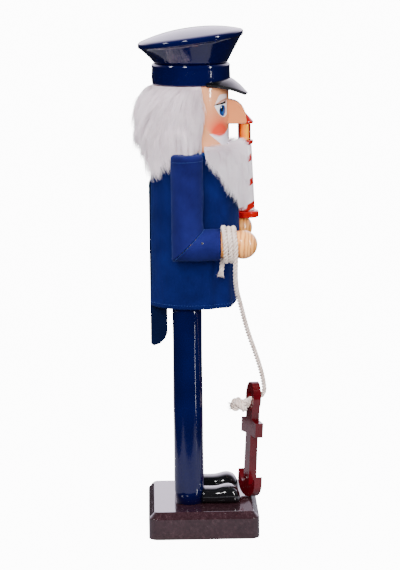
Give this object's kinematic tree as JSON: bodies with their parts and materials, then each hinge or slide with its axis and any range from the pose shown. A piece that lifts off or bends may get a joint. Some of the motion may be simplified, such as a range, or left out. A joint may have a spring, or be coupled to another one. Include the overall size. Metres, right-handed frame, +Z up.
{
  "type": "nutcracker figure",
  "caption": "Wooden sea captain nutcracker on a plinth, with a jaw worked by a lever at its back, fur hair and beard, a lighthouse on one fist and a roped anchor.",
  "frame": {"origin": "middle of the plinth's underside", "axes": "+Z up, the figure faces -Y, its right side is -X"},
  "size_m": [0.1182, 0.0995, 0.3803],
  "materials": {
    "plinth_lacquer": "dark plum gloss lacquer on wood",
    "navy_lacquer": "navy blue gloss lacquer on turned wood",
    "black_lacquer": "black gloss lacquer on wood",
    "screw_steel": "plain steel",
    "torso_paint": "blue painted wood under the jacket",
    "jacket_cloth": "matte royal blue woven cloth",
    "sleeve_cloth": "matte royal blue woven cloth",
    "skin_lacquer": "skin coloured gloss paint with a painted face",
    "nose_lacquer": "skin coloured gloss paint",
    "hair_fur": "long white plush fur",
    "beard_fur": "long white plush fur",
    "lever_lacquer": "dark navy gloss lacquer on wood",
    "dowel_wood": "bare beech",
    "hand_wood": "natural wood under satin lacquer",
    "red_lacquer": "red gloss lacquer",
    "tower_lacquer": "white gloss lacquer with a painted red spiral stripe",
    "amber_paint": "yellow gloss paint",
    "maroon_lacquer": "maroon gloss lacquer on sawn board",
    "cotton_rope": "cream three-strand cotton rope"
  },
  "bodies": {
    "figure": {"base_plinth": "plinth_lacquer", "right_leg": "navy_lacquer", "right_leg_screw": "screw_steel", "right_shoe": "black_lacquer", "left_leg": "navy_lacquer", "left_leg_screw": "screw_steel", "left_shoe": "black_lacquer", "torso": "torso_paint", "jacket": "jacket_cloth", "head": "skin_lacquer", "nose": "nose_lacquer", "hair": "hair_fur", "jaw_pin": "screw_steel", "hat_band": "navy_lacquer", "hat_crown": "navy_lacquer", "hat_visor": "black_lacquer", "right_leg_dowel": "dowel_wood", "right_neck_dowel": "dowel_wood", "right_shoulder_dowel": "dowel_wood", "right_elbow_dowel": "dowel_wood", "right_wrist_dowel": "dowel_wood", "right_upper_arm": "dowel_wood", "right_forearm": "dowel_wood", "right_upper_sleeve": "sleeve_cloth", "right_lower_sleeve": "sleeve_cloth", "right_hand": "hand_wood", "left_leg_dowel": "dowel_wood", "left_neck_dowel": "dowel_wood", "left_shoulder_dowel": "dowel_wood", "left_elbow_dowel": "dowel_wood", "left_wrist_dowel": "dowel_wood", "left_upper_arm": "dowel_wood", "left_forearm": "dowel_wood", "left_upper_sleeve": "sleeve_cloth", "left_lower_sleeve": "sleeve_cloth", "left_hand": "hand_wood", "hat_dowel": "dowel_wood", "lighthouse_base": "red_lacquer", "lighthouse_tower": "tower_lacquer", "lighthouse_gallery": "red_lacquer", "lighthouse_lantern": "amber_paint", "lighthouse_roof": "red_lacquer", "lantern_post_1": "red_lacquer", "lantern_post_2": "red_lacquer", "lantern_post_3": "red_lacquer", "lantern_post_4": "red_lacquer", "anchor": "maroon_lacquer", "rope_wrist_wrap": "cotton_rope", "anchor_rope": "cotton_rope", "rope_knot": "cotton_rope"},
    "jaw_lever": {"jaw_lever": "lever_lacquer", "beard": "beard_fur"}
  },
  "joints": [
    {"name": "jaw_hinge", "type": "hinge", "parent": "figure", "child": "jaw_lever", "pos_m": [0, 0.008, 0.281], "axis": [1, 0, 0], "range_deg": [0, 18], "deforming": ["beard"]}
  ]
}
